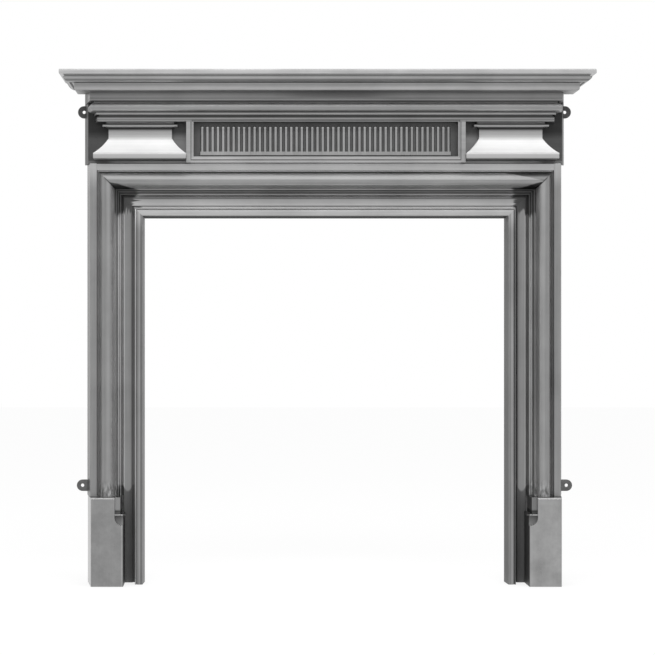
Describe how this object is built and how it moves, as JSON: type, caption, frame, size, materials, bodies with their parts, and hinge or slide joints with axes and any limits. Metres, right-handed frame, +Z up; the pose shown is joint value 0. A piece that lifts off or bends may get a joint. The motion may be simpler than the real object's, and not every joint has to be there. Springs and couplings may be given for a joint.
{
  "type": "cast iron fireplace surround",
  "caption": "Polished cast iron fireplace surround: moulded shelf, frieze with reeded panel and corner blocks, mitred frame round a square fire opening, plinths and wall lugs.",
  "frame": {"origin": "on the floor, midway in width and in depth", "axes": "+X to the viewer's right, +Y towards the wall, +Z up; the front faces -Y"},
  "size_m": [1.31, 0.17, 1.2716],
  "materials": {
    "polished_iron": "polished grey iron in front, left as cast in the recesses and behind",
    "cast_iron": "as cast, dark",
    "steel_fasteners": "plain steel"
  },
  "bodies": {
    "root": {"mantel_shelf": "polished_iron", "frieze": "polished_iron", "reeded_panel": "polished_iron", "corner_block_left": "polished_iron", "corner_block_right": "polished_iron", "header": "polished_iron", "jamb_left": "polished_iron", "jamb_right": "polished_iron", "plinth_left": "polished_iron", "plinth_right": "polished_iron", "lug_top_left": "cast_iron", "lug_top_right": "cast_iron", "lug_bottom_left": "cast_iron", "lug_bottom_right": "cast_iron", "shelf_bolt_1": "steel_fasteners", "shelf_bolt_2": "steel_fasteners", "shelf_bolt_3": "steel_fasteners", "shelf_bolt_4": "steel_fasteners", "frieze_bolt_1": "steel_fasteners", "frieze_bolt_2": "steel_fasteners", "frieze_bolt_3": "steel_fasteners", "frieze_bolt_4": "steel_fasteners", "frieze_nut_1": "steel_fasteners", "frieze_nut_2": "steel_fasteners", "frieze_nut_3": "steel_fasteners", "frieze_nut_4": "steel_fasteners", "mitre_bolt_left_1": "steel_fasteners", "mitre_nut_left_1": "steel_fasteners", "plinth_screw_left_1": "steel_fasteners", "block_screw_left_1": "steel_fasteners", "panel_screw_left_1": "steel_fasteners", "mitre_bolt_left_2": "steel_fasteners", "mitre_nut_left_2": "steel_fasteners", "plinth_screw_left_2": "steel_fasteners", "block_screw_left_2": "steel_fasteners", "panel_screw_left_2": "steel_fasteners", "lug_screw_top_left": "steel_fasteners", "lug_screw_bottom_left": "steel_fasteners", "mitre_bolt_right_1": "steel_fasteners", "mitre_nut_right_1": "steel_fasteners", "plinth_screw_right_1": "steel_fasteners", "block_screw_right_1": "steel_fasteners", "panel_screw_right_1": "steel_fasteners", "mitre_bolt_right_2": "steel_fasteners", "mitre_nut_right_2": "steel_fasteners", "plinth_screw_right_2": "steel_fasteners", "block_screw_right_2": "steel_fasteners", "panel_screw_right_2": "steel_fasteners", "lug_screw_top_right": "steel_fasteners", "lug_screw_bottom_right": "steel_fasteners"}
  },
  "joints": []
}
